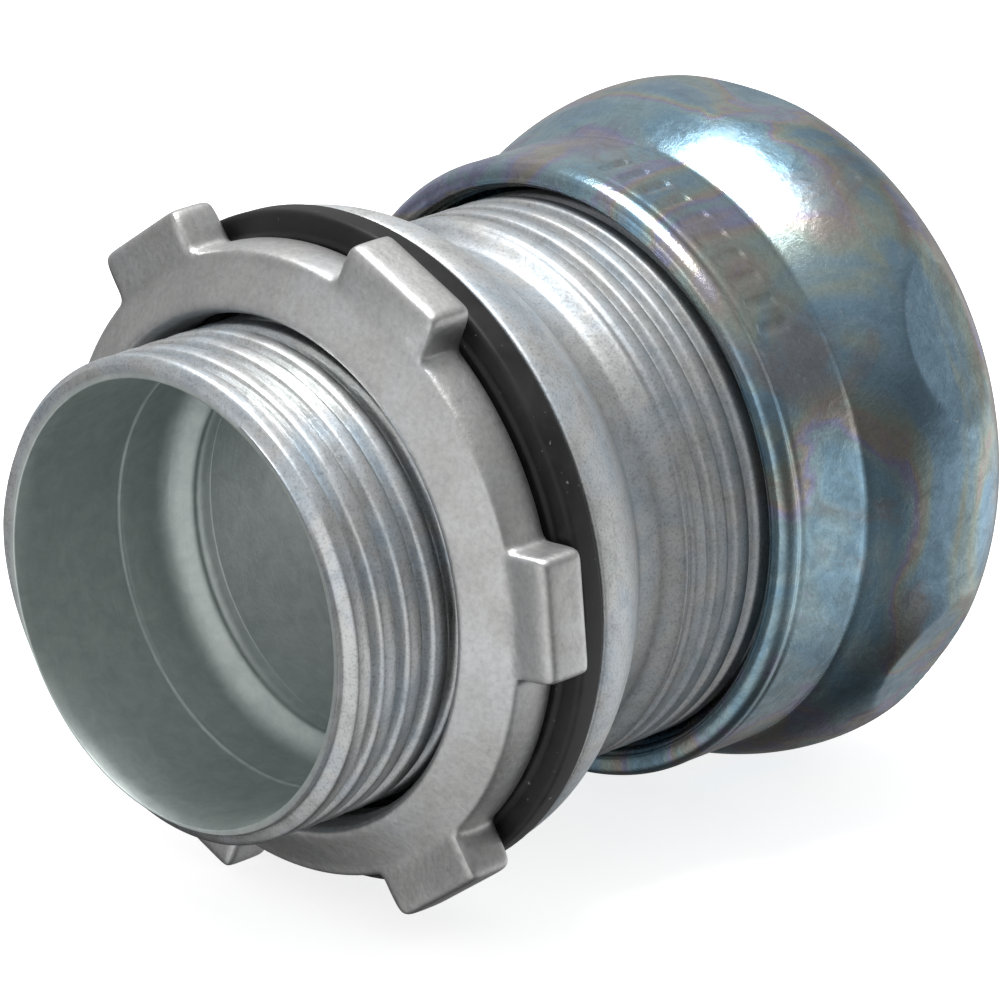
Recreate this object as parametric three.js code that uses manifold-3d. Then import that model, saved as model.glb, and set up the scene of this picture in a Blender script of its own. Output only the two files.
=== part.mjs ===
// Raintight compression connector for thin-wall steel conduit, 3/4 trade size, with its hub locknut.
// Millimetres. +X runs along the fitting's axis, from the threaded hub to the conduit entry; +Z is up.
// The origin is on the axis, in the face of the shoulder that clamps the box wall.
import * as THREE from "three";
import { mergeVertices } from "three/addons/utils/BufferGeometryUtils.js";
import Module from "manifold-3d";

const wasm = await Module();
wasm.setup();
const { Manifold, Mesh } = wasm;

const SEGMENTS = 36; // facets round every turned surface
const GAP = 0.3; // between pieces that touch in the real fitting
const THREAD_CLEARANCE = 0.35; // radial, between a nut's thread and the body's

// The conduit that the fitting clamps.
const CONDUIT_R = 11.7;

// Hub, which passes through the knockout: 14 threads per inch.
const HUB_LENGTH = 13.5;
const HUB_RISE = 1.4; // thread crests over the conduit's surface
const HUB_THREAD_DEPTH = 0.85;
const HUB_PITCH = 25.4 / 14;
const HUB_GROOVE_CLOCK = 178; // clock angle at which a groove passes HUB_GROOVE_X
const HUB_GROOVE_X = -11.45;
const HUB_RIM_DROP = 0.15; // the end ring is this much smaller than the crests
const HUB_WALL = 1.3; // thread crest to bore

// Shoulder and neck.
const SHOULDER_LEDGE = 4.7; // from the hub's crests out to the shoulder's edge
const SHOULDER_LENGTH = 6.6;
const NECK_DROP = 0.15; // the neck is this much smaller than the grip thread's root

// Compression end: 16 threads per inch.
const GRIP_END_X = 24;
const GRIP_WALL = 2.4; // conduit socket to thread root
const GRIP_THREAD_DEPTH = 0.7;
const GRIP_PITCH = 25.4 / 16;
const GRIP_GROOVE_CLOCK = 178;
const GRIP_GROOVE_X = 7.76;

// Inside of the body: a rolled stop that the conduit's end meets, its socket, and the ring's seat.
const STOP_X = -0.5;
const STOP_LENGTH = 1.5;
const STOP_HEIGHT = 1.2; // in from the hub's bore
const SOCKET_CLEARANCE = 0.25;
const SEAT_SLOPE = 0.56; // radius gained per mm of length
const SEAT_LIP = 0.95; // wall left between the seat's mouth and the thread root

// Sealing washer on the hub.
const SEAL_THICKNESS = 1.8;
const SEAL_OVERHANG = 0.3; // past the shoulder's edge
const SEAL_CLEARANCE = 0.4; // round the hub's crests

// Locknut.
const LOCKNUT_THICKNESS = 4.4;
const LOCKNUT_EDGE = 2.95; // thickness at the rim
const LOCKNUT_MOUTH_FLARE = 0.85; // the bore's mouths are this much wider than the hub's crests
const LOCKNUT_RIM_WIDTH = 2.95; // from the bore's mouth out to the rim
const LUG_COUNT = 6;
const LUG_REACH = 2.25; // past the rim
const LUG_WIDTH = 6.6;
const LUG_CLOCK = 54.5; // clock angle of the first lug, from +Y towards +Z

// Gland parts inside the nut.
const RING_BORE_CLEARANCE = 0.4; // round the conduit
const RING_NOSE_WALL = 0.4;
const RING_WALL = 1.8;
const RING_LENGTH = 3.85;
const RING_STANDOFF = 1.15; // how far the ring still moves before its cone meets the seat
const RING_SLIT = 2.2;
const GASKET_THICKNESS = 2.1;
const SLIP_WASHER_THICKNESS = 0.8;
const GLAND_PARTS_CLEARANCE = 0.65; // inside the nut's hollow

// Gland nut.
const GLAND_LENGTH = 19.3;
const GLAND_WALL = 2; // grip thread crests out to the band
const GLAND_BAND_LENGTH = 6.5;
const GLAND_SWELL = 1.75; // barrel over band
const GLAND_SWELL_LENGTH = 6.4; // crease to the barrel's widest ring
const GLAND_SHOULDER_DROP = 5; // radius lost from there to the nut's end
const GLAND_FLAT_DEPTH = 0.55; // flats below the barrel's widest ring: 36.5 across
const GLAND_FLAT_CLOCK = 33.5;
const GLAND_THREAD_LENGTH = 10.4;
const GLAND_END_WALL = 2.4; // inside face that pushes on the slip washer, to the end
const GLAND_ENTRY_CLEARANCE = 0.6; // round the conduit
const GLAND_MOUTH_FLARE = 0.75;
const GLAND_THREAD_RELIEF = 0.15; // the hollow past the nut's thread is this much wider

// Sizes and places that follow from those.
const HUB_CREST_R = CONDUIT_R + HUB_RISE;
const HUB_ROOT_R = HUB_CREST_R - HUB_THREAD_DEPTH;
const HUB_BORE_R = HUB_CREST_R - HUB_WALL;
const SHOULDER_R = HUB_CREST_R + SHOULDER_LEDGE;
const SOCKET_R = CONDUIT_R + SOCKET_CLEARANCE;
const GRIP_ROOT_R = SOCKET_R + GRIP_WALL;
const GRIP_CREST_R = GRIP_ROOT_R + GRIP_THREAD_DEPTH;
const NECK_R = GRIP_ROOT_R - NECK_DROP;
const STOP_R = Math.min(HUB_BORE_R, SOCKET_R) - STOP_HEIGHT;
const SEAT_MOUTH_R = GRIP_ROOT_R - SEAT_LIP;
const SEAT_X = GRIP_END_X - (SEAT_MOUTH_R - SOCKET_R) / SEAT_SLOPE;
const SEAL_R = SHOULDER_R + SEAL_OVERHANG;
const LOCKNUT_MOUTH_R = HUB_CREST_R + LOCKNUT_MOUTH_FLARE;
const LOCKNUT_RIM_R = LOCKNUT_MOUTH_R + LOCKNUT_RIM_WIDTH;
const LUG_TIP_R = LOCKNUT_RIM_R + LUG_REACH;
const RING_BORE_R = CONDUIT_R + RING_BORE_CLEARANCE;
const RING_NOSE_R = RING_BORE_R + RING_NOSE_WALL;
const RING_R = RING_BORE_R + RING_WALL;
const RING_NOSE_X = SEAT_X + (RING_NOSE_R - SOCKET_R) / SEAT_SLOPE + RING_STANDOFF;
const RING_BACK_X = RING_NOSE_X + RING_LENGTH;
const GASKET_FRONT_X = RING_BACK_X + GAP;
const GASKET_BACK_X = GASKET_FRONT_X + GASKET_THICKNESS;
const SLIP_FRONT_X = GASKET_BACK_X + GAP;
const SLIP_BACK_X = SLIP_FRONT_X + SLIP_WASHER_THICKNESS;
const GLAND_SHOULDER_X = SLIP_BACK_X + GAP;
const GLAND_END_X = GLAND_SHOULDER_X + GLAND_END_WALL;
const GLAND_MOUTH_X = GLAND_END_X - GLAND_LENGTH;
const GLAND_CREASE_X = GLAND_MOUTH_X + GLAND_BAND_LENGTH;
const GLAND_WIDEST_X = GLAND_CREASE_X + GLAND_SWELL_LENGTH;
const GLAND_THREAD_END_X = GLAND_MOUTH_X + GLAND_THREAD_LENGTH;
const GLAND_BAND_R = GRIP_CREST_R + GLAND_WALL;
const GLAND_BARREL_R = GLAND_BAND_R + GLAND_SWELL;
const GLAND_TAP_R = GRIP_CREST_R + THREAD_CLEARANCE;
const GLAND_HOLLOW_R = GLAND_TAP_R + GLAND_THREAD_RELIEF;
const GLAND_PARTS_R = GLAND_HOLLOW_R - GLAND_PARTS_CLEARANCE;
const GLAND_ENTRY_R = CONDUIT_R + GLAND_ENTRY_CLEARANCE;

function toManifold(geometry) {
  geometry.deleteAttribute("normal");
  geometry.deleteAttribute("uv");
  const merged = mergeVertices(geometry, 1e-4);
  const corners = merged.index.array;
  const kept = [];
  for (let i = 0; i < corners.length; i += 3) {
    const [a, b, c] = corners.slice(i, i + 3);
    if (a !== b && b !== c && c !== a) kept.push(a, b, c);
  }
  return new Manifold(
    new Mesh({
      numProp: 3,
      vertProperties: merged.attributes.position.array,
      triVerts: new Uint32Array(kept),
    }),
  );
}

function toMesh(name, solid, color, metalness, roughness) {
  const m = solid.getMesh();
  const geometry = new THREE.BufferGeometry();
  const places = new Float32Array(m.numVert * 3);
  for (let i = 0; i < m.numVert; i++) {
    places.set(m.vertProperties.subarray(i * m.numProp, i * m.numProp + 3), i * 3);
  }
  geometry.setAttribute("position", new THREE.BufferAttribute(places, 3));
  geometry.setIndex(new THREE.BufferAttribute(m.triVerts, 1));
  geometry.computeVertexNormals();
  const mesh = new THREE.Mesh(geometry, new THREE.MeshStandardMaterial({ color, metalness, roughness }));
  mesh.name = name;
  return mesh;
}

// A solid turned about the axis from [x, radius] points listed along +X; it closes on the axis.
function turned(profile) {
  const points = [
    new THREE.Vector2(0, profile[0][0]),
    ...profile.map(([x, r]) => new THREE.Vector2(r, x)),
    new THREE.Vector2(0, profile[profile.length - 1][0]),
  ];
  return toManifold(new THREE.LatheGeometry(points, SEGMENTS).rotateZ(-Math.PI / 2));
}

// A rod from x0 to x1 with a right-hand thread, whose groove and crest have sloping flanks between them.
// At an open end the groove runs out through the end face, which is no larger than that end's endR.
// At any other end the thread fades to endR over fade mm.
const FLANKS = [[-0.15, 0], [0.15, 0], [0.35, 1], [0.65, 1]]; // [part of the pitch from the groove, height]
function threadedRod({ x0, x1, rootR, crestR, pitch, grooveX, grooveClock, endR, openStart, fade }) {
  const firstGrooveX = grooveX - (pitch * grooveClock) / 360;
  const first = Math.floor((x0 - firstGrooveX) / pitch) - 2;
  const last = Math.ceil((x1 - firstGrooveX) / pitch) + 1;
  const rows = [];
  for (let turn = first; turn <= last; turn++) {
    for (const [part, height] of FLANKS) {
      rows.push([firstGrooveX + pitch * (turn + part), rootR + (crestR - rootR) * height]);
    }
  }
  const threadR = (x, j) => {
    const turns = (x - firstGrooveX) / pitch - j / SEGMENTS;
    const fromGroove = Math.abs(turns - Math.round(turns));
    const height = THREE.MathUtils.clamp((fromGroove - FLANKS[1][0]) / (FLANKS[2][0] - FLANKS[1][0]), 0, 1);
    return rootR + (crestR - rootR) * height;
  };
  const at = (row, j) => {
    const angle = (2 * Math.PI * j) / SEGMENTS;
    const x = Math.min(x1, Math.max(x0, row[0] + (pitch * j) / SEGMENTS));
    const startR = openStart ? Math.min(endR[0], threadR(x0, j)) : endR[0];
    const fromStart = openStart ? Math.min(1, Math.ceil(x - x0)) : Math.min(1, (x - x0) / fade);
    const fromEnd = Math.min(1, (x1 - x) / fade);
    let r = startR + (row[1] - startR) * fromStart;
    r = endR[1] + (r - endR[1]) * fromEnd;
    return [x, r * Math.cos(angle), r * Math.sin(angle)];
  };
  const places = [];
  const face = (...corners) => corners.forEach((p) => places.push(...p));
  for (let j = 0; j < SEGMENTS; j++) {
    for (let k = 0; k + 1 < rows.length; k++) {
      const [a, b, c, d] = [at(rows[k], j), at(rows[k + 1], j), at(rows[k + 1], j + 1), at(rows[k], j + 1)];
      face(a, c, b);
      face(a, d, c);
    }
    const [start, end] = [rows[0], rows[rows.length - 1]];
    face([x0, 0, 0], at(start, j + 1), at(start, j));
    face([x1, 0, 0], at(end, j), at(end, j + 1));
  }
  const geometry = new THREE.BufferGeometry();
  geometry.setAttribute("position", new THREE.Float32BufferAttribute(places, 3));
  return toManifold(geometry);
}

// A block whose middle is radius mm from the axis at a clock angle; sizes along X, along the radius, across.
function block(middleX, radius, clock, sizeX, sizeRadial, sizeAcross) {
  const box = new THREE.BoxGeometry(sizeX, sizeRadial, sizeAcross);
  box.translate(middleX, radius, 0);
  box.rotateX(THREE.MathUtils.degToRad(clock));
  return toManifold(box);
}

// Connector body.
const hubThread = {
  rootR: HUB_ROOT_R, crestR: HUB_CREST_R, pitch: HUB_PITCH, grooveX: HUB_GROOVE_X,
  grooveClock: HUB_GROOVE_CLOCK,
};
const gripThread = {
  rootR: GRIP_ROOT_R, crestR: GRIP_CREST_R, pitch: GRIP_PITCH, grooveX: GRIP_GROOVE_X,
  grooveClock: GRIP_GROOVE_CLOCK,
};
const hubRod = threadedRod({
  ...hubThread, x0: -HUB_LENGTH, x1: 0.5, openStart: true,
  endR: [HUB_CREST_R - HUB_RIM_DROP, HUB_ROOT_R], fade: 0.7,
});
const gripRod = threadedRod({
  ...gripThread, x0: SHOULDER_LENGTH + 0.3, x1: GRIP_END_X, endR: [NECK_R, GRIP_ROOT_R - 0.2], fade: 1,
});
const shoulderDrop = SHOULDER_R - NECK_R;
const shoulder = turned([
  [0, SHOULDER_R - 0.3],
  [0.3, SHOULDER_R],
  [0.15 * SHOULDER_LENGTH, SHOULDER_R - 0.03 * shoulderDrop],
  [0.4 * SHOULDER_LENGTH, SHOULDER_R - 0.2 * shoulderDrop],
  [0.63 * SHOULDER_LENGTH, SHOULDER_R - 0.47 * shoulderDrop],
  [0.8 * SHOULDER_LENGTH, SHOULDER_R - 0.74 * shoulderDrop],
  [0.9 * SHOULDER_LENGTH, SHOULDER_R - 0.92 * shoulderDrop],
  [SHOULDER_LENGTH, NECK_R],
  [SHOULDER_LENGTH + 1, NECK_R],
]);
const stopFrontX = STOP_X - STOP_LENGTH;
const bodyBore = turned([
  [-HUB_LENGTH - 1, HUB_BORE_R + 0.5],
  [-HUB_LENGTH, HUB_BORE_R + 0.4],
  [-HUB_LENGTH + 0.65, HUB_BORE_R],
  [stopFrontX - 1.1, HUB_BORE_R],
  [stopFrontX - 0.55, HUB_BORE_R - 0.45],
  [stopFrontX, STOP_R],
  [STOP_X, STOP_R],
  [STOP_X + 0.4, SOCKET_R],
  [SEAT_X, SOCKET_R],
  [GRIP_END_X, SEAT_MOUTH_R],
  [GRIP_END_X + 1, SEAT_MOUTH_R],
]);
const connectorBody = Manifold.union([shoulder, hubRod, gripRod]).subtract(bodyBore);

// Sealing washer between the locknut or the box wall and the shoulder.
const sealBackX = -GAP;
const sealFrontX = sealBackX - SEAL_THICKNESS;
const sealBoreR = HUB_CREST_R + SEAL_CLEARANCE;
const sealBore = turned([[sealFrontX - 1, sealBoreR], [sealBackX + 1, sealBoreR]]);
const hubSealingWasher = turned([
  [sealFrontX, SEAL_R - 0.15],
  [sealFrontX + 0.15, SEAL_R],
  [sealBackX - 0.15, SEAL_R],
  [sealBackX, SEAL_R - 0.15],
]).subtract(sealBore);

// Locknut: a dished ring with lugs, its lugs' feet on the washer.
const locknutBackX = sealFrontX - GAP;
const locknutFrontX = locknutBackX - LOCKNUT_THICKNESS;
const rimFrontX = locknutBackX - LOCKNUT_EDGE;
const dish = turned([
  [locknutFrontX, LOCKNUT_MOUTH_R + 0.25],
  [locknutFrontX + 0.3, LOCKNUT_MOUTH_R + 0.65],
  [rimFrontX - 0.1, LOCKNUT_RIM_R - 0.3],
  [rimFrontX + 0.25, LOCKNUT_RIM_R],
  [locknutBackX - 0.25, LOCKNUT_RIM_R],
  [locknutBackX, LOCKNUT_RIM_R - 0.25],
]);
const lugSide = new THREE.Shape([
  new THREE.Vector2(rimFrontX - 0.3, LOCKNUT_MOUTH_R + 1.6),
  new THREE.Vector2(rimFrontX + 0.1, LUG_TIP_R - 0.5),
  new THREE.Vector2(rimFrontX + 0.4, LUG_TIP_R),
  new THREE.Vector2(locknutBackX - 0.3, LUG_TIP_R),
  new THREE.Vector2(locknutBackX, LUG_TIP_R - 0.5),
  new THREE.Vector2(locknutBackX, LOCKNUT_MOUTH_R + 1),
  new THREE.Vector2(rimFrontX + 0.3, LOCKNUT_MOUTH_R + 1),
]);
const lugs = [];
for (let i = 0; i < LUG_COUNT; i++) {
  const lug = new THREE.ExtrudeGeometry(lugSide, { depth: LUG_WIDTH, bevelEnabled: false });
  lug.translate(0, 0, -LUG_WIDTH / 2);
  lug.rotateX(THREE.MathUtils.degToRad(LUG_CLOCK + (360 / LUG_COUNT) * i));
  lugs.push(toManifold(lug));
}
const locknutTap = threadedRod({
  ...hubThread,
  rootR: HUB_ROOT_R + THREAD_CLEARANCE,
  crestR: HUB_CREST_R + THREAD_CLEARANCE,
  x0: locknutFrontX - 1,
  x1: locknutBackX + 1,
  endR: [HUB_ROOT_R + THREAD_CLEARANCE, HUB_ROOT_R + THREAD_CLEARANCE],
  fade: 0.5,
});
const locknutMouth = turned([
  [locknutFrontX - 1, LOCKNUT_MOUTH_R],
  [locknutFrontX + 0.1, LOCKNUT_MOUTH_R],
  [locknutFrontX + 1.2, HUB_ROOT_R],
]);
const locknutBack = turned([
  [locknutBackX - 1.2, HUB_ROOT_R],
  [locknutBackX, LOCKNUT_MOUTH_R],
  [locknutBackX + 1, LOCKNUT_MOUTH_R],
]);
const locknut = Manifold.union([dish, ...lugs])
  .subtract(Manifold.union([locknutTap, locknutMouth, locknutBack]));

// Gland nut: rounded lip, plain band, crease, and a barrel with six wrench flats.
const roundOverLength = GLAND_END_X - GLAND_WIDEST_X;
const swellAt = (t) => [
  GLAND_CREASE_X + GLAND_SWELL_LENGTH * t,
  GLAND_BARREL_R - GLAND_SWELL * (1 - t) ** 2,
];
const roundOverAt = (t) => [
  GLAND_WIDEST_X + roundOverLength * t,
  GLAND_BARREL_R - GLAND_SHOULDER_DROP * t ** 2.2,
];
const glandRim = turned([
  [GLAND_MOUTH_X, GLAND_BAND_R - 0.75],
  [GLAND_MOUTH_X + 0.25, GLAND_BAND_R - 0.3],
  [GLAND_MOUTH_X + 0.7, GLAND_BAND_R - 0.05],
  [GLAND_MOUTH_X + 1.2, GLAND_BAND_R],
  [GLAND_CREASE_X - 0.3, GLAND_BAND_R],
  ...[0.1, 0.4, 0.7, 1].map(swellAt),
  ...[0.25, 0.42, 0.57, 0.7, 0.85, 1].map(roundOverAt),
]);
const flatCuts = [];
for (let i = 0; i < 6; i++) {
  const apothem = GLAND_BARREL_R - GLAND_FLAT_DEPTH;
  flatCuts.push(block(GLAND_WIDEST_X + 0.8, apothem + 2, GLAND_FLAT_CLOCK + 60 * i, 13, 4, apothem));
}
const glandTap = threadedRod({
  ...gripThread,
  rootR: GRIP_ROOT_R + THREAD_CLEARANCE,
  crestR: GLAND_TAP_R,
  x0: GLAND_MOUTH_X - 1,
  x1: GLAND_THREAD_END_X + 0.5,
  endR: [GLAND_TAP_R, GLAND_TAP_R],
  fade: 1,
});
const glandHollow = turned([
  [GLAND_THREAD_END_X - 0.5, GRIP_ROOT_R],
  [GLAND_THREAD_END_X + 0.3, GLAND_HOLLOW_R],
  [GLAND_SHOULDER_X, GLAND_HOLLOW_R],
]);
const glandMouth = turned([
  [GLAND_MOUTH_X - 1, GRIP_CREST_R + GLAND_MOUTH_FLARE],
  [GLAND_MOUTH_X, GRIP_CREST_R + GLAND_MOUTH_FLARE],
  [GLAND_MOUTH_X + 0.4, GLAND_HOLLOW_R],
  [GLAND_MOUTH_X + 1.4, GLAND_HOLLOW_R],
  [GLAND_MOUTH_X + 2.2, GRIP_ROOT_R],
]);
const glandEntry = turned([
  [GLAND_THREAD_END_X, GLAND_ENTRY_R],
  [GLAND_END_X - 0.5, GLAND_ENTRY_R],
  [GLAND_END_X, GLAND_ENTRY_R + 0.5],
  [GLAND_END_X + 1, GLAND_ENTRY_R + 0.5],
]);
const glandNut = glandRim
  .subtract(Manifold.union(flatCuts))
  .subtract(Manifold.union([glandTap, glandHollow, glandMouth, glandEntry]));

// Gland parts, stacked from the body's seat towards the nut's inside shoulder.
const compressionRing = turned([
  [RING_NOSE_X, RING_NOSE_R],
  [RING_NOSE_X + (RING_R - RING_NOSE_R) / SEAT_SLOPE, RING_R],
  [RING_BACK_X - 0.4, RING_R],
  [RING_BACK_X, RING_R - 0.4],
])
  .subtract(turned([[RING_NOSE_X - 1, RING_BORE_R], [RING_BACK_X + 1, RING_BORE_R]]))
  .subtract(block((RING_NOSE_X + RING_BACK_X) / 2, RING_R, 90, 2 * RING_LENGTH, RING_R, RING_SLIT));
const glandGasket = turned([
  [GASKET_FRONT_X, GLAND_PARTS_R - 0.3],
  [GASKET_FRONT_X + 0.3, GLAND_PARTS_R],
  [GASKET_BACK_X - 0.3, GLAND_PARTS_R],
  [GASKET_BACK_X, GLAND_PARTS_R - 0.3],
]).subtract(turned([[GASKET_FRONT_X - 1, RING_BORE_R], [GASKET_BACK_X + 1, RING_BORE_R]]));
const slipWasher = turned([[SLIP_FRONT_X, GLAND_PARTS_R], [SLIP_BACK_X, GLAND_PARTS_R]])
  .subtract(turned([[SLIP_FRONT_X - 1, GLAND_ENTRY_R], [SLIP_BACK_X + 1, GLAND_ENTRY_R]]));

const group = new THREE.Group();
group.name = "conduit_compression_fitting";
group.add(
  toMesh("connector_body", connectorBody, 0xb6babd, 1, 0.4),
  toMesh("hub_sealing_washer", hubSealingWasher, 0x222224, 0, 0.6),
  toMesh("locknut", locknut, 0xa0a3a4, 1, 0.6),
  toMesh("gland_nut", glandNut, 0x7f97a6, 1, 0.3),
  toMesh("compression_ring", compressionRing, 0xb6babd, 1, 0.4),
  toMesh("gland_gasket", glandGasket, 0x2a2a2c, 0, 0.7),
  toMesh("slip_washer", slipWasher, 0xc2c4c6, 1, 0.4),
);

export default group;
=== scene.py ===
# Raintight compression connector for 3/4 trade size conduit, lying on its side with its locknut on the hub.
import math

import bmesh
import bpy
from mathutils import Matrix, Vector


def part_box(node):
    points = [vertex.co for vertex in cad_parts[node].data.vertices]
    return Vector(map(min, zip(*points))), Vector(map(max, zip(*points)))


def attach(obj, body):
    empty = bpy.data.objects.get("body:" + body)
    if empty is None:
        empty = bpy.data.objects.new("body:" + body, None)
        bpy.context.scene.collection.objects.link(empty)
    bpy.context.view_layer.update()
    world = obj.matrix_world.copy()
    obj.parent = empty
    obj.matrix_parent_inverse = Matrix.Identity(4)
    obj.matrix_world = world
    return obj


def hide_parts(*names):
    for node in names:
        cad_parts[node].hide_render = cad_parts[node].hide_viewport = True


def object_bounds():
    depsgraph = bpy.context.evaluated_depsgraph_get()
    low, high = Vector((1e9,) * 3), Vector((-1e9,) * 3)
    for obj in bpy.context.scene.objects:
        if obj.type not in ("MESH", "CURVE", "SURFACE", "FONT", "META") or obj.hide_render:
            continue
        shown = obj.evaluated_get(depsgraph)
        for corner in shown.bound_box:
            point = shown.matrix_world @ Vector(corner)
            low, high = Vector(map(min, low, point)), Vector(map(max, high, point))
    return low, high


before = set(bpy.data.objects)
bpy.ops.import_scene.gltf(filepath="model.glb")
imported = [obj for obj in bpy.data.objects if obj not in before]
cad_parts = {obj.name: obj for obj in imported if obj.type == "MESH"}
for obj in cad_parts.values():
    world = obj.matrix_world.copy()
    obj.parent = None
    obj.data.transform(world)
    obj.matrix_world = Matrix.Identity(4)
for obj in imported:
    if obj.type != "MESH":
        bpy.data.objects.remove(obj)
cad_box = [list(corner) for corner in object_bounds()]

MM = 0.001

# Places that come from the frame, in millimetres.
body_low, body_high = [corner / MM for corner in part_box("connector_body")]
seal_low, seal_high = [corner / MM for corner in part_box("hub_sealing_washer")]
lock_low, lock_high = [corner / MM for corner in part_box("locknut")]
gland_low, gland_high = [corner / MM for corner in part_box("gland_nut")]
ring_low, ring_high = [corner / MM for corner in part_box("compression_ring")]
gasket_low, gasket_high = [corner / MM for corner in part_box("gland_gasket")]
slip_low, slip_high = [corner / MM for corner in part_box("slip_washer")]
HUB_END = body_low.x
GRIP_END = body_high.x
SHOULDER_R = body_high.z
GLAND_MOUTH = gland_low.x
GLAND_END = gland_high.x

# Thread sizes, as the fitting is made.
HUB_PITCH = 25.4 / 14
HUB_CREST_R = 13.1
HUB_DEPTH = 0.78
HUB_GROOVE = -11.45 - HUB_PITCH * 178 / 360  # a groove's place at clock angle 0
GRIP_PITCH = 25.4 / 16
GRIP_CREST_R = 15.05
GRIP_DEPTH = 0.5
GRIP_GROOVE = 7.76 - GRIP_PITCH * 178 / 360
HUB_BORE_R = 11.8
SOCKET_R = 11.95
NECK_R = 14.2
SHOULDER_LENGTH = 6.6

# Gland nut sizes.
BAND_R = 17.05
BAND_LENGTH = 6.5
BARREL_R = 18.8
SWELL = 1.75  # barrel over band
SWELL_LENGTH = 6.4  # crease to the barrel's widest ring
FLAT_R = 18.22
FLAT_CLOCK = 33.5
MARK_CLOCK = 95  # where the row of stamp marks starts
MARK_STEP = 5.0
MARKS = 10

AROUND = 216  # steps round every turned surface


def smooth(low, high, value):
    """0 below low, 1 above high, and an even slope between."""
    t = min(1, max(0, (value - low) / (high - low)))
    return t * t * (3 - 2 * t)


def clock(co):
    """Turns round the axis from +Y towards +Z, from 0 to 1."""
    return (math.atan2(co.z, co.y) / (2 * math.pi)) % 1


def set_radius(v, radius):
    """Moves a vertex out or in to that distance from the axis."""
    scale = radius / math.hypot(v.co.y, v.co.z)
    v.co.y *= scale
    v.co.z *= scale


def outline(corners):
    """A section from corners (x, radius, rounding), with each rounded corner as an arc."""
    points = []
    count = len(corners)
    for i, (x, r, rounding) in enumerate(corners):
        corner = Vector((x, r))
        before = Vector(corners[i - 1][:2]) - corner
        after = Vector(corners[(i + 1) % count][:2]) - corner
        start = corner + before.normalized() * min(rounding, before.length * 0.45)
        end = corner + after.normalized() * min(rounding, after.length * 0.45)
        for t in ((0, 0.2, 0.4, 0.6, 0.8, 1) if rounding else (0,)):
            points.append(start * (1 - t) ** 2 + corner * 2 * t * (1 - t) + end * t ** 2)
    return points


def rows(x0, x1, radius, step):
    """Corners along a straight stretch, step mm apart."""
    count = max(1, round(abs(x1 - x0) / step))
    return [(x0 + (x1 - x0) * i / count, radius, 0) for i in range(count + 1)]


def turned(section, around=AROUND):
    """A closed section (x, radius) spun round the fitting's axis."""
    bm = bmesh.new()
    verts = [bm.verts.new((x, r, 0)) for x, r in section]
    edges = [bm.edges.new((verts[i - 1], verts[i])) for i in range(len(verts))]
    bmesh.ops.spin(bm, geom=verts + edges, cent=(0, 0, 0), axis=(1, 0, 0), dvec=(0, 0, 0),
                   angle=2 * math.pi, steps=around, use_merge=True)
    bmesh.ops.recalc_face_normals(bm, faces=bm.faces)
    return bm


def rolled_thread(x, turns, groove, pitch):
    """Height of a rolled thread: 0 in its narrow groove, 1 on its broad rounded crest."""
    along = (x - groove) / pitch - turns
    from_groove = abs(along - round(along))
    return smooth(0.02, 0.25, from_groove) * (1 - 0.3 * (1 - 2 * from_groove) ** 2)


def finish_piece(bm, name, body, node, material, sharp=50, subdivide=0):
    """Turns a bmesh in millimetres into a shown piece that stands for a CAD node."""
    bmesh.ops.scale(bm, vec=(MM, MM, MM), verts=bm.verts)
    mesh = bpy.data.meshes.new(name)
    bm.to_mesh(mesh)
    bm.free()
    mesh.materials.append(material)
    mesh.shade_smooth()
    mesh.set_sharp_from_angle(angle=math.radians(sharp))
    piece = bpy.data.objects.new(name, mesh)
    bpy.context.scene.collection.objects.link(piece)
    if subdivide:
        modifier = piece.modifiers.new("rounding", "SUBSURF")
        modifier.levels = subdivide
        modifier.render_levels = subdivide
    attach(piece, body)
    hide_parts(node)
    return piece


# ---------------------------------------------------------------- finishes

def add(tree, kind, inputs=None, **settings):
    """A node with its settings and the values of its sockets."""
    made = tree.nodes.new(kind)
    for name, value in settings.items():
        setattr(made, name, value)
    for name, value in (inputs or {}).items():
        made.inputs[name].default_value = value
    return made


def new_material(name, **values):
    material = bpy.data.materials.new(name)
    material.use_nodes = True
    shader = material.node_tree.nodes["Principled BSDF"]
    for socket, value in values.items():
        shader.inputs[socket.replace("_", " ")].default_value = value
    return material, material.node_tree, shader


def object_noise(tree, scale, detail=4, roughness=0.55, distortion=0.0, stretch=(1, 1, 1), shift=(0, 0, 0)):
    """Noise on the piece's own coordinates; scale is in features per metre."""
    place = add(tree, "ShaderNodeTexCoord")
    mapping = add(tree, "ShaderNodeMapping", {"Scale": stretch, "Location": shift})
    noise = add(tree, "ShaderNodeTexNoise",
                {"Scale": scale, "Detail": detail, "Roughness": roughness, "Distortion": distortion})
    tree.links.new(place.outputs["Object"], mapping.inputs["Vector"])
    tree.links.new(mapping.outputs["Vector"], noise.inputs["Vector"])
    return noise.outputs["Fac"]


def ramp(tree, factor, stops):
    """A colour or grey ramp; stops are (position, colour)."""
    made = add(tree, "ShaderNodeValToRGB")
    while len(made.color_ramp.elements) < len(stops):
        made.color_ramp.elements.new(0.5)
    for element, (position, colour) in zip(made.color_ramp.elements, stops):
        element.position = position
        element.color = (*colour, 1) if len(colour) == 3 else colour
    tree.links.new(factor, made.inputs["Fac"])
    return made.outputs["Color"]


def grey(value):
    return (value, value, value)


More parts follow.
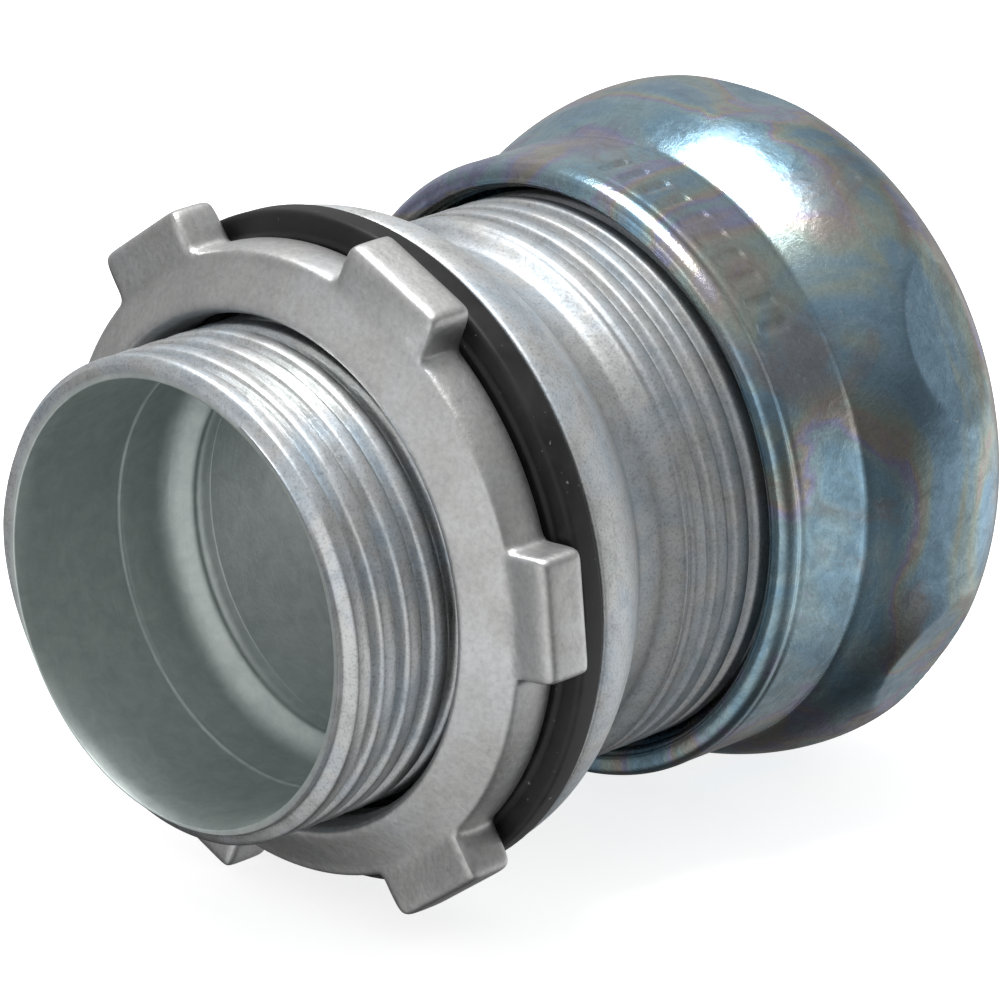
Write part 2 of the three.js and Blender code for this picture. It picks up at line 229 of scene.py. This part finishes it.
def mixed(tree, factor, a, b, blend="MIX"):
    """Two colours mixed by a factor socket or number."""
    made = add(tree, "ShaderNodeMix", data_type="RGBA", blend_type=blend)
    for socket, value in ((made.inputs[0], factor), (made.inputs[6], a), (made.inputs[7], b)):
        if isinstance(value, bpy.types.NodeSocket):
            tree.links.new(value, socket)
        elif isinstance(value, (int, float)):
            socket.default_value = value
        else:
            socket.default_value = (*value, 1)
    return made.outputs[2]


def add_bump(tree, shader, layers):
    """Stacks height sockets as bumps; layers are (height, strength, distance in mm)."""
    last = None
    for height, strength, distance in layers:
        bump = add(tree, "ShaderNodeBump", {"Strength": strength, "Distance": distance * MM})
        tree.links.new(height, bump.inputs["Height"])
        if last:
            tree.links.new(last, bump.inputs["Normal"])
        last = bump.outputs["Normal"]
    tree.links.new(last, shader.inputs["Normal"])


def radius_from(tree, inner, outer):
    """0 nearer the fitting's axis than inner, 1 beyond outer, in millimetres."""
    place = add(tree, "ShaderNodeTexCoord")
    flatten = add(tree, "ShaderNodeMapping", {"Scale": (0, 1, 1)})
    length = add(tree, "ShaderNodeVectorMath", operation="LENGTH")
    step = add(tree, "ShaderNodeMapRange", {"From Min": inner * MM, "From Max": outer * MM})
    tree.links.new(place.outputs["Object"], flatten.inputs["Vector"])
    tree.links.new(flatten.outputs["Vector"], length.inputs[0])
    tree.links.new(length.outputs["Value"], step.inputs["Value"])
    return step.outputs["Result"]


def bright_zinc():
    """Bright zinc electroplate on rolled steel: satin, mottled and speckled; duller and greener in the bore."""
    material, tree, shader = new_material("bright_zinc", Metallic=1.0)
    clouds = object_noise(tree, 210, 6, 0.62, 0.8)
    mottle = object_noise(tree, 900, 4, 0.7, 0.5)
    grain = object_noise(tree, 7000, 2, 0.6)
    lines = object_noise(tree, 900, 5, 0.75, 0, (5, 0.12, 0.12))
    tint = ramp(tree, clouds, [
        (0.30, (0.58, 0.66, 0.72)), (0.44, (0.69, 0.74, 0.78)),
        (0.56, (0.74, 0.75, 0.75)), (0.68, (0.66, 0.69, 0.68))])
    worn = mixed(tree, 0.45, tint, ramp(tree, mottle, [(0.32, grey(0.62)), (0.55, grey(1.0))]), "MULTIPLY")
    flecked = mixed(tree, 0.5, worn, ramp(tree, grain, [(0.32, grey(0.5)), (0.5, grey(1.0))]), "MULTIPLY")
    # the neck and the grip's thread are painted darker than the shoulder and the hub: painted shade, as from the
    # gland nut's shadow, which also dims the softbox highlight there
    painted_neck_shade = mixed(tree, radius_from(tree, 13.3, 14.0), grey(1.0),
                 mixed(tree, radius_from(tree, 15.3, 16.6), grey(0.70), grey(1.0)))
    flecked = mixed(tree, 1.0, flecked, painted_neck_shade, "MULTIPLY")
    outside = radius_from(tree, 12.15, 12.3)
    inside = ramp(tree, mottle, [(0.3, (0.60, 0.66, 0.65)), (0.7, (0.74, 0.80, 0.78))])
    tree.links.new(mixed(tree, outside, inside, flecked), shader.inputs["Base Color"])
    gloss = ramp(tree, clouds, [(0.3, grey(0.48)), (0.7, grey(0.28))])
    satin = mixed(tree, 0.3, gloss, ramp(tree, lines, [(0.3, grey(0.25)), (0.7, grey(0.6))]))
    formed = mixed(tree, radius_from(tree, 13.3, 14.1), satin, mixed(tree, 0.8, satin, grey(0.58)))
    tree.links.new(mixed(tree, outside, grey(0.5), formed), shader.inputs["Roughness"])
    add_bump(tree, shader, [(lines, 0.2, 0.03), (clouds, 0.5, 0.12), (mottle, 0.4, 0.04), (grain, 0.3, 0.012)])
    return material


def cast_zinc():
    """Tumbled zinc casting: matte, grainy and finely pitted."""
    material, tree, shader = new_material("cast_zinc", Metallic=1.0)
    clouds = object_noise(tree, 180, 5, 0.6, 0.4)
    grain = object_noise(tree, 3200, 4, 0.7)
    pits = object_noise(tree, 1300, 3, 0.6)
    tint = ramp(tree, clouds, [(0.3, (0.54, 0.54, 0.54)), (0.5, (0.64, 0.64, 0.635)), (0.7, (0.71, 0.725, 0.74))])
    grained = mixed(tree, 0.45, tint, ramp(tree, grain, [(0.3, grey(0.6)), (0.6, grey(1.0))]), "MULTIPLY")
    tree.links.new(mixed(tree, 0.3, grained, ramp(tree, pits, [(0.26, grey(0.4)), (0.36, grey(1.0))]), "MULTIPLY"),
                   shader.inputs["Base Color"])
    tree.links.new(ramp(tree, clouds, [(0.3, grey(0.48)), (0.7, grey(0.38))]), shader.inputs["Roughness"])
    add_bump(tree, shader, [(clouds, 0.5, 0.14), (pits, 0.4, 0.05), (grain, 0.5, 0.025)])
    return material


def black_rubber():
    """Moulded black elastomer with a dull bloom and pale dust."""
    material, tree, shader = new_material("black_rubber", Specular_IOR_Level=0.32)
    bloom = object_noise(tree, 300, 5, 0.65, 0.5)
    dust = object_noise(tree, 2400, 2, 0.5)
    base = ramp(tree, bloom, [(0.35, grey(0.007)), (0.7, grey(0.018))])
    specks = ramp(tree, dust, [(0.70, grey(0.0)), (0.76, grey(1.0))])
    tree.links.new(mixed(tree, specks, base, (0.13, 0.13, 0.13)), shader.inputs["Base Color"])
    tree.links.new(ramp(tree, bloom, [(0.3, grey(0.38)), (0.7, grey(0.58))]), shader.inputs["Roughness"])
    add_bump(tree, shader, [(bloom, 0.3, 0.06), (dust, 0.2, 0.02)])
    return material


def blue_chromate():
    """Clear-blue chromated zinc: a thin film that runs through blue, teal, violet and brown, scuffed bright."""
    material, tree, shader = new_material("blue_chromate", Metallic=1.0)
    film = object_noise(tree, 62, 4, 0.5, 1.6)
    patches = object_noise(tree, 95, 6, 0.6, 1.0, (1, 1, 1), (0.03, 0.01, 0.02))
    mottle = object_noise(tree, 620, 5, 0.7, 0.8)
    grain = object_noise(tree, 5200, 3, 0.7)
    scuffs = object_noise(tree, 1300, 5, 0.8, 0.6)
    colours = ramp(tree, film, [
        (0.30, (0.25, 0.38, 0.45)), (0.38, (0.29, 0.47, 0.60)), (0.44, (0.38, 0.53, 0.58)),
        (0.475, (0.40, 0.41, 0.60)), (0.505, (0.50, 0.46, 0.42)), (0.54, (0.43, 0.52, 0.48)),
        (0.60, (0.31, 0.47, 0.59)), (0.68, (0.26, 0.41, 0.54))])
    browned = mixed(tree, ramp(tree, patches, [(0.54, grey(0.0)), (0.62, grey(0.6))]), colours, (0.40, 0.35, 0.33))
    mottled = mixed(tree, 0.55, browned, ramp(tree, mottle, [(0.30, grey(0.45)), (0.58, grey(1.0))]), "MULTIPLY")
    scuffed = mixed(tree, ramp(tree, scuffs, [(0.60, grey(0.0)), (0.70, grey(0.65))]), mottled, (0.56, 0.63, 0.66))
    tree.links.new(mixed(tree, 0.35, scuffed, ramp(tree, grain, [(0.3, grey(0.55)), (0.6, grey(1.0))]), "MULTIPLY"),
                   shader.inputs["Base Color"])
    tree.links.new(ramp(tree, mottle, [(0.3, grey(0.34)), (0.7, grey(0.16))]), shader.inputs["Roughness"])
    add_bump(tree, shader, [(patches, 0.4, 0.2), (mottle, 0.35, 0.05), (scuffs, 0.4, 0.03), (grain, 0.3, 0.015)])
    return material


def spring_zinc():
    """Plain zinc plate on the small parts inside the gland."""
    material, tree, shader = new_material("spring_zinc", Metallic=1.0)
    clouds = object_noise(tree, 500, 4)
    tree.links.new(ramp(tree, clouds, [(0.3, (0.56, 0.57, 0.58)), (0.7, (0.68, 0.69, 0.70))]),
                   shader.inputs["Base Color"])
    tree.links.new(ramp(tree, clouds, [(0.3, grey(0.28)), (0.7, grey(0.42))]), shader.inputs["Roughness"])
    add_bump(tree, shader, [(clouds, 0.3, 0.03)])
    return material


# ---------------------------------------------------------------- connector body

def shoulder_curve():
    """From the shoulder's edge down to the neck, in one S-shaped sweep."""
    drop = SHOULDER_R - NECK_R
    corners = []
    for step in range(34):
        t = 0.09 + 1.06 * step / 33
        sweep = (1.17 * t * t + 1 - math.sqrt((1.17 * t * t - 1) ** 2 + 0.012)) / 2
        corners.append((SHOULDER_LENGTH * t, SHOULDER_R - drop * sweep, 0))
    return corners


def connector_body():
    hub_root = HUB_CREST_R - HUB_DEPTH
    section = outline([
        (HUB_END, HUB_CREST_R - 0.3, 0),
        *rows(HUB_END + 0.08, -0.3, HUB_CREST_R, 0.1),
        (0, hub_root, 0),
        (0, SHOULDER_R, 0.3),
        *shoulder_curve(),
        *rows(7.6, GRIP_END - 0.1, GRIP_CREST_R, 0.1),
        (GRIP_END, 14.2, 0),
        (GRIP_END, 13.4, 0.1),
        (21.41, SOCKET_R, 0.3),
        (-0.1, SOCKET_R, 0.2),
        (-0.45, 10.75, 0.2),
        (-1.3, 10.7, 0.3),
        (-1.7, 10.52, 0.2),
        (-2.0, 10.55, 0.25),
        (-2.8, HUB_BORE_R - 0.35, 0.5),
        (-3.6, HUB_BORE_R, 0.6),
        (-5.9, HUB_BORE_R, 0.1),
        (-6.1, HUB_BORE_R - 0.12, 0.1),
        (-6.3, HUB_BORE_R, 0.1),
        (HUB_END + 0.75, HUB_BORE_R, 0.3),
        (HUB_END + 0.02, HUB_BORE_R + 0.14, 0.08),
    ])
    bm = turned(section)
    for v in bm.verts:
        x, radius = v.co.x, math.hypot(v.co.y, v.co.z)
        turns = clock(v.co)
        if x < -0.29 and radius > 12.5:
            height = rolled_thread(x, turns, HUB_GROOVE, HUB_PITCH)
            # the first crest dies away where the groove behind it comes near the end face
            first = HUB_GROOVE + HUB_PITCH * (math.ceil((HUB_END - HUB_GROOVE) / HUB_PITCH - turns) + turns)
            worn = 1 - smooth(0.98, 1.2, first - HUB_END)
            if x < first:
                height *= 1 - worn
            edge = 0.3 * smooth(0.45, 0, x - HUB_END)
            thinned = 0.34 * worn * smooth(0.5, 0.75, first - HUB_END) * smooth(0.75, 0, x - HUB_END)
            set_radius(v, hub_root + (HUB_DEPTH - edge) * height - thinned)
        elif x > 7.59 and radius > 14.6:
            crest = NECK_R + (GRIP_CREST_R - NECK_R) * smooth(7.7, 9.3, x)
            depth = GRIP_DEPTH * smooth(8.7, 10.2, x) * smooth(GRIP_END + 0.2, GRIP_END - 1.0, x)
            set_radius(v, crest - depth * (1 - rolled_thread(x, turns, GRIP_GROOVE, GRIP_PITCH))
                       - 0.4 * smooth(GRIP_END - 0.8, GRIP_END, x))
    finish_piece(bm, "threaded_body", "connector", "connector_body", bright_zinc())


# ---------------------------------------------------------------- sealing washer

def sealing_washer():
    bore, rim = 13.5, seal_high.z
    section = outline([
        (seal_low.x, bore, 0.15),
        (seal_low.x, 16.7, 0.1),
        (seal_low.x + 0.16, 16.95, 0.1),
        (seal_low.x + 0.2, rim, 0.35),
        (seal_high.x, rim - 0.05, 0.2),
        (seal_high.x, bore, 0.15),
    ])
    finish_piece(turned(section), "sealing_ring", "wall_seal", "hub_sealing_washer", black_rubber())


# ---------------------------------------------------------------- locknut

LUGS = 6
LUG_CLOCK = 54.5


def locknut():
    """A sixth of the ring is spun, its lug drawn out of the rim, and the sixth repeated round the axis."""
    rim, tip, mouth = 16.75, 19.2, 13.95
    front, edge, back = lock_low.x, lock_high.x - 2.95, lock_high.x
    steps, half_width = 26, 5
    section = [
        (front + 0.12, mouth - 0.06), (front, mouth + 0.22), (front + 0.5, mouth + 0.95),
        (front + 0.98, mouth + 1.75), (edge - 0.08, rim - 0.4), (edge, rim),
        (edge + 0.6, rim + 0.1), (edge + 1.45, rim + 0.15), (back - 0.5, rim + 0.12),
        (back, rim), (back, rim - 0.7), (back, mouth + 0.3), (back - 0.4, 13.5), (front + 1.0, 13.42),
    ]
    bm = bmesh.new()
    verts = [bm.verts.new((x, r, 0)) for x, r in section]
    edges = [bm.edges.new((verts[i - 1], verts[i])) for i in range(len(verts))]
    sixth = 2 * math.pi / LUGS
    start = math.radians(LUG_CLOCK) - sixth / 2
    bmesh.ops.rotate(bm, cent=(0, 0, 0), matrix=Matrix.Rotation(start, 3, "X"), verts=verts)
    bmesh.ops.spin(bm, geom=verts + edges, cent=(0, 0, 0), axis=(1, 0, 0), dvec=(0, 0, 0),
                   angle=sixth, steps=steps, use_merge=False)
    outward = Vector((0, math.cos(math.radians(LUG_CLOCK)), math.sin(math.radians(LUG_CLOCK))))
    reach = sixth / steps * half_width

    def on_lug(face):
        centre = face.calc_center_median()
        radial = Vector((0, centre.y, centre.z))
        return radial.length > rim and centre.x < back and radial.angle(outward) < reach

    drawn = [f for f in bm.faces if on_lug(f)]
    for distance in (0.4, 1.3, tip - rim - 0.12):
        made = bmesh.ops.extrude_face_region(bm, geom=drawn, use_keep_orig=False)["geom"]
        bmesh.ops.delete(bm, geom=drawn, context="FACES")
        drawn = [g for g in made if isinstance(g, bmesh.types.BMFace)]
        for v in {v for f in drawn for v in f.verts}:
            v.co += outward * (rim + distance - v.co.dot(outward))
    bmesh.ops.smooth_vert(bm, verts=list({v for f in drawn for v in f.verts}), factor=0.4,
                          use_axis_x=True, use_axis_y=True, use_axis_z=True)
    bmesh.ops.spin(bm, geom=bm.verts[:] + bm.edges[:] + bm.faces[:], cent=(0, 0, 0), axis=(1, 0, 0),
                   dvec=(0, 0, 0), angle=2 * math.pi - sixth, steps=LUGS - 1, use_merge=False, use_duplicate=True)
    bmesh.ops.remove_doubles(bm, verts=bm.verts, dist=0.01)
    bmesh.ops.recalc_face_normals(bm, faces=bm.faces)
    finish_piece(bm, "hub_locknut", "lock", "locknut", cast_zinc(), sharp=80, subdivide=2)


# ---------------------------------------------------------------- gland nut

def gland_nut():
    crease = GLAND_MOUTH + BAND_LENGTH
    widest = crease + SWELL_LENGTH

    def swell(t):
        return (crease + SWELL_LENGTH * t, BARREL_R - SWELL * (1 - t) ** 2, 0)

    def round_over(t):
        return (widest + (GLAND_END - widest) * t, BARREL_R - 5 * t ** 2.2, 0)

    section = outline([
        (GLAND_MOUTH + 0.5, 15.55, 0.3),
        (GLAND_MOUTH, 15.9, 0.4),
        (GLAND_MOUTH + 0.05, 16.75, 0.7),
        (GLAND_MOUTH + 0.9, BAND_R + 0.06, 0.4),
        (GLAND_MOUTH + 1.25, BAND_R - 0.08, 0.2),
        (GLAND_MOUTH + 1.6, BAND_R, 0.2),
        *rows(GLAND_MOUTH + 1.9, crease - 0.6, BAND_R, 0.12),
        (crease - 0.2, BAND_R - 0.06, 0.25),
        *[swell(t / 40) for t in range(2, 41)],
        *[round_over(t / 40) for t in range(1, 41)],
        (GLAND_END, 12.8, 0.2),
        (GLAND_END - 0.5, 12.3, 0.2),
        (31.2, 12.3, 0.1),
        (31.2, 15.5, 0.2),
        (24.9, 15.5, 0.1),
        *rows(24.6, GLAND_MOUTH + 1.6, 14.75, 0.12),
        (GLAND_MOUTH + 1.0, 15.5, 0.1),
    ])
    bm = turned(section, 360)
    for v in bm.verts:
        x, radius, turns = v.co.x, math.hypot(v.co.y, v.co.z), clock(v.co)
        if radius > 13.9 and x > crease:
            from_flat = (turns * 360 - FLAT_CLOCK + 30) % 60 - 30
            flat = (FLAT_R - 0.1 * (x - widest)) / math.cos(math.radians(from_flat))
            set_radius(v, (radius + flat - math.sqrt((radius - flat) ** 2 + 0.0006)) / 2)
        elif radius > 16.9:
            # a row of plain upright stamp marks along the band
            mark = (turns * 360 - MARK_CLOCK) / MARK_STEP
            if 0 < mark < MARKS and mark % 1 < 0.33 and abs(x - GLAND_MOUTH - 3.0) < 1.0:
                set_radius(v, radius - 0.14)
        elif radius < 15 and GLAND_MOUTH + 1.5 < x < 24.7:
            set_radius(v, 14.85 + 0.5 * rolled_thread(x, turns, GRIP_GROOVE, GRIP_PITCH))
    finish_piece(bm, "gland_cap", "gland", "gland_nut", blue_chromate())


# ---------------------------------------------------------------- parts inside the gland

def gland_parts():
    steel = spring_zinc()
    ring = turned(outline([
        (ring_low.x, 12.1, 0.1), (ring_low.x, 12.5, 0.15), (ring_low.x + 2.5, 13.9, 0.3),
        (ring_high.x, 13.9, 0.4), (ring_high.x, 12.1, 0.15),
    ]), 96)
    slit = 1.1
    for side in (1, -1):
        bmesh.ops.bisect_plane(ring, geom=ring.verts[:] + ring.edges[:] + ring.faces[:], plane_co=(0, side * slit, 0),
                               plane_no=(0, side, 0))
    gap = [f for f in ring.faces if abs(f.calc_center_median().y) < slit and f.calc_center_median().z > 0]
    bmesh.ops.delete(ring, geom=gap, context="FACES")
    bmesh.ops.holes_fill(ring, edges=[e for e in ring.edges if e.is_boundary])
    bmesh.ops.recalc_face_normals(ring, faces=ring.faces)
    finish_piece(ring, "split_ring", "gland_stack", "compression_ring", steel)

    gasket = turned(outline([
        (gasket_low.x, 12.1, 0.3), (gasket_low.x, gasket_high.z, 0.4),
        (gasket_high.x, gasket_high.z, 0.4), (gasket_high.x, 12.1, 0.3),
    ]), 160)
    finish_piece(gasket, "rubber_gasket", "gland_stack", "gland_gasket", black_rubber())

    slip = turned(outline([
        (slip_low.x, 12.3, 0.12), (slip_low.x, slip_high.z, 0.12),
        (slip_high.x, slip_high.z, 0.12), (slip_high.x, 12.3, 0.12),
    ]), 160)
    finish_piece(slip, "thrust_washer", "gland_stack", "slip_washer", steel)


connector_body()
sealing_washer()
locknut()
gland_nut()
gland_parts()


# ---------------------------------------------------------------- floor, light and camera

FLOOR_Z = min(corner[2] for corner in cad_box)


def floor():
    bm = bmesh.new()
    bmesh.ops.create_grid(bm, x_segments=1, y_segments=1, size=6)
    bmesh.ops.translate(bm, vec=(0, 0, FLOOR_Z - 0.00005), verts=bm.verts)
    mesh = bpy.data.meshes.new("floor")
    bm.to_mesh(mesh)
    bm.free()
    material, tree, shader = new_material(
        "pale_floor", Roughness=0.9, Base_Color=(0.8, 0.8, 0.8, 1),
        Emission_Color=(1, 1, 1, 1), Emission_Strength=0.75)
    mesh.materials.append(material)
    made = bpy.data.objects.new("floor", mesh)
    made.visible_glossy = False
    bpy.context.scene.collection.objects.link(made)


def area_light(name, towards, distance, size, power, colour=(1, 1, 1)):
    """A softbox seen from the fitting in the given direction, facing it."""
    light = bpy.data.lights.new(name, "AREA")
    light.shape = "RECTANGLE"
    light.size, light.size_y = size
    light.energy = power
    light.color = colour
    made = bpy.data.objects.new(name, light)
    place = Vector(towards).normalized()
    made.location = place * distance
    made.rotation_euler = place.to_track_quat("Z", "Y").to_euler()
    bpy.context.scene.collection.objects.link(made)


def soft_patch(tree, direction, towards, inner, outer, strength):
    """A round patch of the studio's walls, fading from its middle to its edge; angles in degrees."""
    dot = add(tree, "ShaderNodeVectorMath", operation="DOT_PRODUCT")
    tree.links.new(direction, dot.inputs[0])
    dot.inputs[1].default_value = Vector(towards).normalized()
    fade = add(tree, "ShaderNodeMapRange", {
        "From Min": math.cos(math.radians(outer)), "From Max": math.cos(math.radians(inner)),
        "To Min": 0.0, "To Max": strength}, interpolation_type="SMOOTHSTEP")
    tree.links.new(dot.outputs["Value"], fade.inputs["Value"])
    return fade.outputs["Result"]


def studio():
    """One large softbox over the far side, pale walls to the left, and a darker sweep low down."""
    area_light("overhead_softbox", (0.03, 0.10, 1.0), 0.7, (0.26, 0.42), 5.4)
    world = bpy.data.worlds.new("studio")
    world.use_nodes = True
    tree = world.node_tree
    background = tree.nodes["Background"]
    place = add(tree, "ShaderNodeTexCoord")
    direction = place.outputs["Generated"]
    split = add(tree, "ShaderNodeSeparateXYZ")
    tree.links.new(direction, split.inputs[0])
    height = add(tree, "ShaderNodeMapRange", {"From Min": -1.0, "From Max": 1.0})
    tree.links.new(split.outputs["Z"], height.inputs["Value"])
    level = ramp(tree, height.outputs["Result"], [
        (0.0, grey(0.05)), (0.25, grey(0.07)), (0.46, grey(0.13)), (0.60, grey(0.13)),
        (0.70, grey(0.26)), (0.85, grey(0.42)), (1.0, grey(0.6))])
    for towards, inner, outer, strength in (
            ((-0.95, 0.1, 0.3), 10, 62, 0.30),
            ((-0.80, -0.30, -0.50), 10, 70, 0.66),
            ((0.62, -0.68, -0.36), 8, 38, 0.50),
            ((0.6, 0.8, 0.1), 10, 45, 0.36),
            ((0.95, -0.2, -0.15), 8, 42, 0.62),
            ((0.83, 0.05, -0.52), 6, 34, 0.32),
            ((-0.2, 0.97, 0.1), 8, 35, 0.24)):
        total = add(tree, "ShaderNodeMath", operation="ADD")
        tree.links.new(level, total.inputs[0])
        tree.links.new(soft_patch(tree, direction, towards, inner, outer, strength), total.inputs[1])
        level = total.outputs[0]
    tree.links.new(level, background.inputs["Color"])
    backdrop = add(tree, "ShaderNodeBackground", {"Color": (1, 1, 1, 1)})
    seen = add(tree, "ShaderNodeLightPath")
    choose = add(tree, "ShaderNodeMixShader")
    tree.links.new(seen.outputs["Is Camera Ray"], choose.inputs[0])
    tree.links.new(background.outputs[0], choose.inputs[1])
    tree.links.new(backdrop.outputs[0], choose.inputs[2])
    tree.links.new(choose.outputs[0], tree.nodes["World Output"].inputs["Surface"])
    bpy.context.scene.world = world
    bpy.context.scene.view_settings.view_transform = "Standard"


def camera():
    """At the product view's angle, on a long lens."""
    azimuth, elevation = math.radians(-45.31), math.radians(20.38)
    distance, target = 0.39303, Vector((0, -0.01034, 0.004895))
    back = Vector((math.sin(azimuth) * math.cos(elevation), -math.cos(azimuth) * math.cos(elevation),
                   math.sin(elevation)))
    data = bpy.data.cameras.new("camera")
    data.sensor_width = 36
    data.lens = 276.8
    data.clip_start = 0.01
    made = bpy.data.objects.new("camera", data)
    made.location = target + back * distance
    made.rotation_euler = back.to_track_quat("Z", "Y").to_euler()
    bpy.context.scene.collection.objects.link(made)
    bpy.context.scene.camera = made


floor()
studio()
camera()
